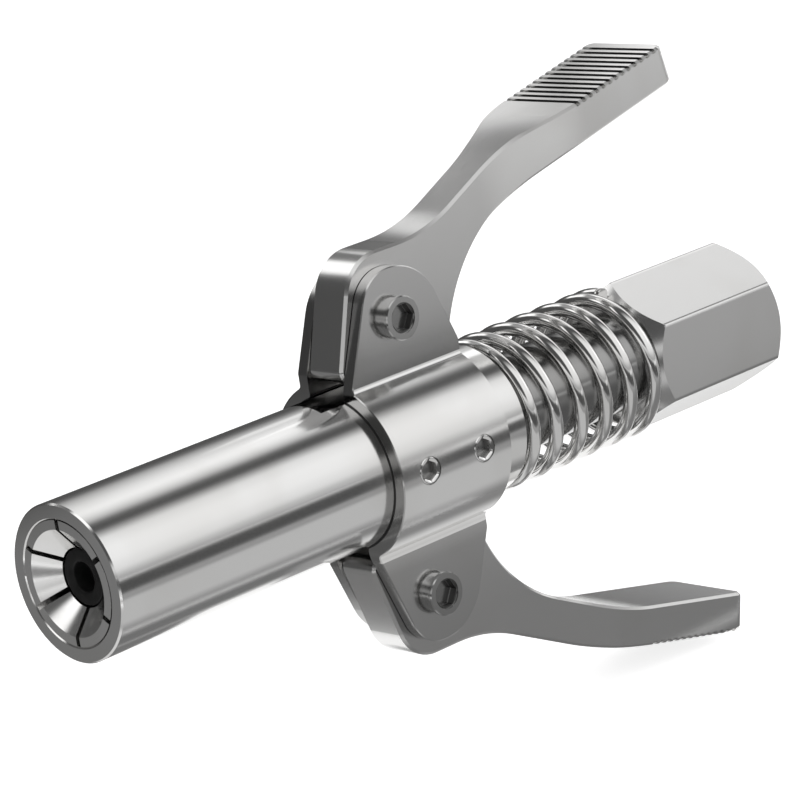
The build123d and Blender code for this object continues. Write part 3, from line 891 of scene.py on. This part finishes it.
def hexagon(flat):
    """Half the width across flats gives the radius at any angle."""
    return lambda angle: flat / cos((angle + flat_turn / 2) % flat_turn - flat_turn / 2)


def screw_levels(radius):
    """(height from the top, radius at an angle) pairs, from the foot over the top to the socket's floor."""
    return [
        (-screw_length, circle(radius - screw_edge)),
        (-screw_length + screw_edge, circle(radius)),
        (-screw_edge, circle(radius)),
        (0, circle(radius - screw_edge)),
        (0, circle(socket_mouth)),
        (-socket_bevel, hexagon(socket_flat)),
        (-socket_depth, hexagon(socket_flat)),
        (-socket_depth, circle(dimple_radius)),
    ]


print("screw levels:", len(screw_levels(1.0)))

# %% [markdown]
# A screw stands across the barrel, so its rings lie round the Y axis. Two small fans of triangles close its
# foot and its dimple.

# %% Cut the four screws
screws_low, screws_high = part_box("set_screws")
screw_radius = screws_high.z


def add_set_screw(mesh, x, side, top, radius):
    """side is -1 for the photograph's side of the barrel and 1 for the far side."""
    rings = []
    for level, reach in screw_levels(radius):
        ring = []
        for step in range(screw_sides):
            angle = 2 * pi * step / screw_sides
            away = reach(angle)
            ring.append(mesh.verts.new((x + away * cos(angle), side * (top + level), away * sin(angle))))
        rings.append(ring)
    skin(mesh, rings)
    for ring, level in ((rings[0], -screw_length), (rings[-1], -dimple_depth)):
        tip = mesh.verts.new((x, side * (top + level), 0))
        for step in range(screw_sides):
            mesh.faces.new((ring[step], ring[(step + 1) % screw_sides], tip))


screw_mesh = bmesh.new()
for screw_x in (screws_low.x + screw_radius, screws_high.x - screw_radius):
    for screw_side in (-1, 1):
        add_set_screw(screw_mesh, screw_x, screw_side, screws_high.y, screw_radius)
cup_screws = piece_from(screw_mesh, "cup_screws", screw_plate, hard=hard_edge)
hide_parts("set_screws")
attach(cup_screws, "sleeve")

# %% [markdown]
# ## Springs
# A spring is a wire swept along a helix. Its mesh is made ring by ring: walk along the helix, stand a
# circle across it, and join each ring to the last. The main spring's end turns lie close together, so the
# walk climbs slowly there and faster between.

# %% Sweep a wire along a coil
wire_sides = 20
rings_per_turn = 72


def coil_mesh(name, wire_radius, mean_radius, climb, turns, start_angle):
    """climb(turn) gives the wire's place along X after that many turns."""
    mesh = bmesh.new()
    count = ceil(turns * rings_per_turn)
    step = turns / count
    rings = []
    for index in range(count + 1):
        wound = index * step
        angle = start_angle + 2 * pi * wound
        outward = Vector((0, cos(angle), sin(angle)))
        centre = outward * mean_radius + Vector((climb(wound), 0, 0))
        rise = (climb(wound + step / 2) - climb(wound - step / 2)) / (2 * pi * step)
        along = Vector((rise, -sin(angle) * mean_radius, cos(angle) * mean_radius)).normalized()
        across = along.cross(outward)
        ring = []
        for side in range(wire_sides):
            around_wire = 2 * pi * side / wire_sides
            point = centre + (outward * cos(around_wire) + across * sin(around_wire)) * wire_radius
            ring.append(mesh.verts.new(point))
        rings.append(ring)
    skin(mesh, rings)
    mesh.faces.new(rings[0])
    mesh.faces.new(reversed(rings[-1]))
    return piece_from(mesh, name, spring_steel)


print("rings per turn:", rings_per_turn)

# %% [markdown]
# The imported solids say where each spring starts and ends. The wire sizes and the turns are the spring
# maker's numbers, so they are written out.

# %% The main spring
main_wire_radius = 0.85 * MM
main_mean_radius = 8.55 * MM
main_start_angle = radians(80)
main_front_dead = 0.5
main_active = 4.78
main_rear_dead = 0.76
dead_pitch = 1.75 * MM

main_front_x = spring_low.x + main_wire_radius
main_rear_x = spring_high.x - main_wire_radius
main_turns = main_front_dead + main_active + main_rear_dead
active_pitch = (main_rear_x - main_front_x - dead_pitch * (main_front_dead + main_rear_dead)) / main_active


def main_climb(wound):
    """Slow over the end turns, faster between them."""
    active = min(max(wound - main_front_dead, 0), main_active)
    return main_front_x + dead_pitch * (wound - active) + active_pitch * active


main_coil = coil_mesh(
    "main_coil", main_wire_radius, main_mean_radius, main_climb, main_turns, main_start_angle
)

# %% [markdown]
# The two small springs are hidden inside, one behind the seal's piston and one behind the check ball.
# Each one is an even helix.

# %% The two hidden springs
def even_coil(name, node, wire_radius, mean_radius, turns):
    """A coil of even pitch over the length of a packed spring."""
    low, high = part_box(node)
    start = low.x + wire_radius
    pitch = (high.x - low.x - 2 * wire_radius) / turns
    return coil_mesh(name, wire_radius, mean_radius, lambda wound: start + pitch * wound, turns, 0.0)


piston_coil = even_coil("piston_coil", "piston_spring", 0.3 * MM, 2.85 * MM, 8)
ball_coil = even_coil("ball_coil", "ball_spring", 0.2 * MM, 1.9 * MM, 5)

# %% [markdown]
# Each spring rides on the root body, and the share of its length that it would keep at the far end of its
# joint's travel is printed.

# %% Put the springs in place
def joint_travel(name):
    """The far end of a sliding joint's range, in metres."""
    joint = next(j for j in frame["joints"] if j["name"] == name)
    return joint["range_m"][1]


def stand_in(coil, node, joint):
    """Puts a coil in a packed spring's place on the root body, and prints the share of its length it keeps."""
    low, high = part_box(node)
    length = high.x - low.x
    keep = (length - joint_travel(joint)) / length
    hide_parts(node)
    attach(coil, "root")
    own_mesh(coil)
    print(coil.name, "keeps", round(keep, 3), "of its length")


stand_in(main_coil, "main_spring", "sleeve_slide")
stand_in(piston_coil, "piston_spring", "seal_slide")
stand_in(ball_coil, "ball_spring", "ball_slide")

# %% [markdown]
# ## Hose thread
# The solid has a plain bore where the hose screws in. The thread's ridges are a sleeve of mesh that lines
# the bore: its inner radius rises and falls once for each pitch, shifted a little for each step round the
# bore, and that shift is what makes a helix out of rings. At both ends the ridges fade into the wall.

# %% The ridges' radius
thread_root_radius = 5.17 * MM
thread_crest_radius = 4.45 * MM
thread_wall = 0.06 * MM
thread_pitch = 0.907 * MM
thread_depth = 9.6 * MM
thread_mouth = 0.5 * MM
thread_flat = 0.12
run_in_pitches = 1.2


def ridge_radius(x, turn_share):
    """Radius of the ridges at a depth x and a share of a turn."""
    phase = (x / thread_pitch + turn_share) % 1.0
    rise = 1 - abs(2 * phase - 1)
    ridge = min(max((rise - thread_flat) / (1 - 2 * thread_flat), 0), 1)
    run_in = min(max(-x - thread_mouth, 0) / (run_in_pitches * thread_pitch), 1)
    run_out = max((thread_depth + x) / thread_pitch, 0)
    root = thread_root_radius - thread_wall
    return root - (root - thread_crest_radius) * ridge * min(run_in, run_out)


print("ridges", round((thread_root_radius - thread_crest_radius) / MM, 2), "mm high")

# %% [markdown]
# The rings go in along the ridges and come back out along the wall, and the last one joins the first, so
# the sleeve is closed. No edge of it is shaded sharp, because a worn thread has none.

# %% Cut the thread's ridges
rings_per_pitch = 10
thread_sides = 96

thread_length = thread_depth - thread_mouth
thread_count = ceil(thread_length / thread_pitch * rings_per_pitch)
thread_mesh = bmesh.new()
ridge_rings = []
wall_rings = []
for index in range(thread_count + 1):
    depth_x = -thread_mouth - thread_length * index / thread_count
    ridge_radii = [ridge_radius(depth_x, side / thread_sides) for side in range(thread_sides)]
    ridge_rings.append(ring_about_x(thread_mesh, hose_x + depth_x, ridge_radii))
    wall_rings.append(ring_about_x(thread_mesh, hose_x + depth_x, [thread_root_radius] * thread_sides))
skin(thread_mesh, ridge_rings + wall_rings[::-1], closed=True)
hose_thread = piece_from(thread_mesh, "hose_thread", stem_steel)
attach(hose_thread, "root")
